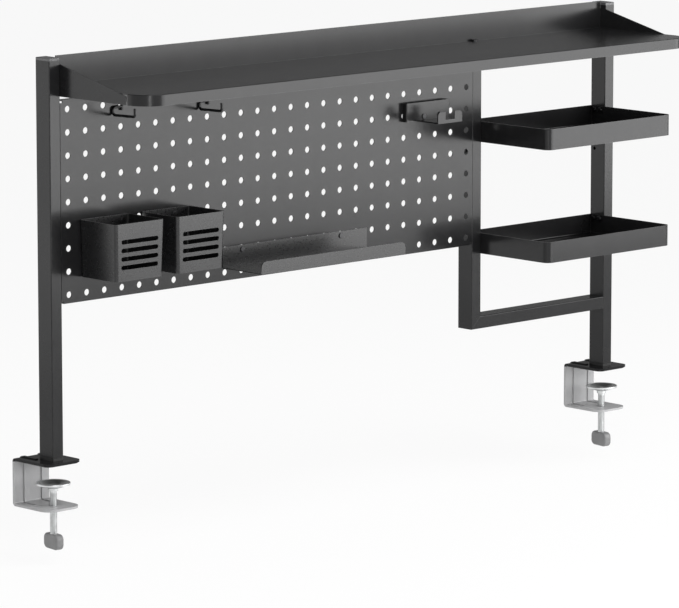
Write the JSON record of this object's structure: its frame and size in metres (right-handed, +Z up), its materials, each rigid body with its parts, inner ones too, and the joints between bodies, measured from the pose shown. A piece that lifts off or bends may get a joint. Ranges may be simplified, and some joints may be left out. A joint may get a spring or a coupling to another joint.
{
  "type": "pegboard desk organizer",
  "caption": "Clamp-on desk organizer: posts carry a pegboard with cups, ledge tray and hooks, open side trays and a full-width shelf on top.",
  "frame": {"origin": "desk edge: mid width of the desk's back top edge, where the clamps seat", "axes": "+X to the right along the desk's back edge, +Y to the back, away from the user, +Z up"},
  "size_m": [0.9204, 0.1887, 0.5422],
  "materials": {
    "charcoal_coat": "matt fine-texture powder coat",
    "charcoal_wire": "satin powder coat",
    "clamp_coat": "satin grey coat, black on the top plate",
    "cap_plastic": "matt moulded",
    "pad_rubber": "matt",
    "zinc": "zinc-plated",
    "knob_plastic": "satin moulded",
    "dark_screw": "dark zinc"
  },
  "bodies": {
    "frame": {"board_screws": "dark_screw", "cheek_screws": "dark_screw", "crossbar": "charcoal_coat", "crossbar_plug": "zinc", "crossbar_screw": "dark_screw", "left_clamp_bracket": "clamp_coat", "left_desk_pad": "pad_rubber", "left_foot_plug": "cap_plastic", "left_foot_screws": "zinc", "left_post": "charcoal_coat", "left_post_cap": "cap_plastic", "lower_tray": "charcoal_coat", "lower_tray_screws": "dark_screw", "mid_post": "charcoal_coat", "mid_post_plug": "zinc", "mid_post_screw": "dark_screw", "pegboard_panel": "charcoal_coat", "right_clamp_bracket": "clamp_coat", "right_desk_pad": "pad_rubber", "right_foot_plug": "cap_plastic", "right_foot_screws": "zinc", "right_post": "charcoal_coat", "right_post_cap": "cap_plastic", "shelf": "charcoal_coat", "shelf_left_cheek": "charcoal_coat", "shelf_right_cheek": "charcoal_coat", "upper_tray": "charcoal_coat", "upper_tray_screws": "dark_screw"},
    "left_clamp_pad_body": {"left_clamp_pad": "zinc"},
    "left_clamp_spindle": {"left_clamp_screw": "zinc", "left_clamp_knob": "knob_plastic"},
    "right_clamp_pad_body": {"right_clamp_pad": "zinc"},
    "right_clamp_spindle": {"right_clamp_screw": "zinc", "right_clamp_knob": "knob_plastic"},
    "left_cup": {"left_pen_cup": "charcoal_coat", "left_pen_cup_hooks": "dark_screw"},
    "right_cup": {"right_pen_cup": "charcoal_coat", "right_pen_cup_hooks": "dark_screw"},
    "ledge": {"ledge_tray": "charcoal_coat", "ledge_tray_hooks": "dark_screw"},
    "holder": {"headphone_holder": "charcoal_coat", "headphone_holder_hooks": "dark_screw"},
    "left_hook": {"left_wire_hook": "charcoal_wire"},
    "right_hook": {"right_wire_hook": "charcoal_wire"}
  },
  "joints": [
    {"name": "left_clamp_travel", "type": "slide", "parent": "frame", "child": "left_clamp_pad_body", "axis": [0, 0, 1], "range_m": [-0.016, 0.0205]},
    {"name": "left_clamp_turn", "type": "hinge", "parent": "left_clamp_pad_body", "child": "left_clamp_spindle", "pos_m": [-0.4352, -0.0365, -0.06], "axis": [0, 0, 1], "range_deg": [-4600, 5895]},
    {"name": "right_clamp_travel", "type": "slide", "parent": "frame", "child": "right_clamp_pad_body", "axis": [0, 0, 1], "range_m": [-0.016, 0.0205]},
    {"name": "right_clamp_turn", "type": "hinge", "parent": "right_clamp_pad_body", "child": "right_clamp_spindle", "pos_m": [0.4352, -0.0365, -0.06], "axis": [0, 0, 1], "range_deg": [-4600, 5895]},
    {"name": "left_cup_lift", "type": "slide", "parent": "frame", "child": "left_cup", "axis": [0, 0, 1], "range_m": [0, 0.0027]},
    {"name": "right_cup_lift", "type": "slide", "parent": "frame", "child": "right_cup", "axis": [0, 0, 1], "range_m": [0, 0.0027]},
    {"name": "ledge_lift", "type": "slide", "parent": "frame", "child": "ledge", "axis": [0, 0, 1], "range_m": [0, 0.0027]},
    {"name": "holder_lift", "type": "slide", "parent": "frame", "child": "holder", "axis": [0, 0, 1], "range_m": [0, 0.0027]},
    {"name": "left_hook_swing", "type": "hinge", "parent": "frame", "child": "left_hook", "pos_m": [-0.3411, -0.0449, 0.3884], "axis": [-1, 0, 0], "range_deg": [0, 33]},
    {"name": "right_hook_swing", "type": "hinge", "parent": "frame", "child": "right_hook", "pos_m": [-0.2141, -0.0449, 0.3884], "axis": [-1, 0, 0], "range_deg": [0, 33]}
  ],
  "couplings": [
    {"joint": "left_clamp_travel", "follows": "left_clamp_turn", "m_per_rad": 0.00019894},
    {"joint": "right_clamp_travel", "follows": "right_clamp_turn", "m_per_rad": 0.00019894}
  ]
}
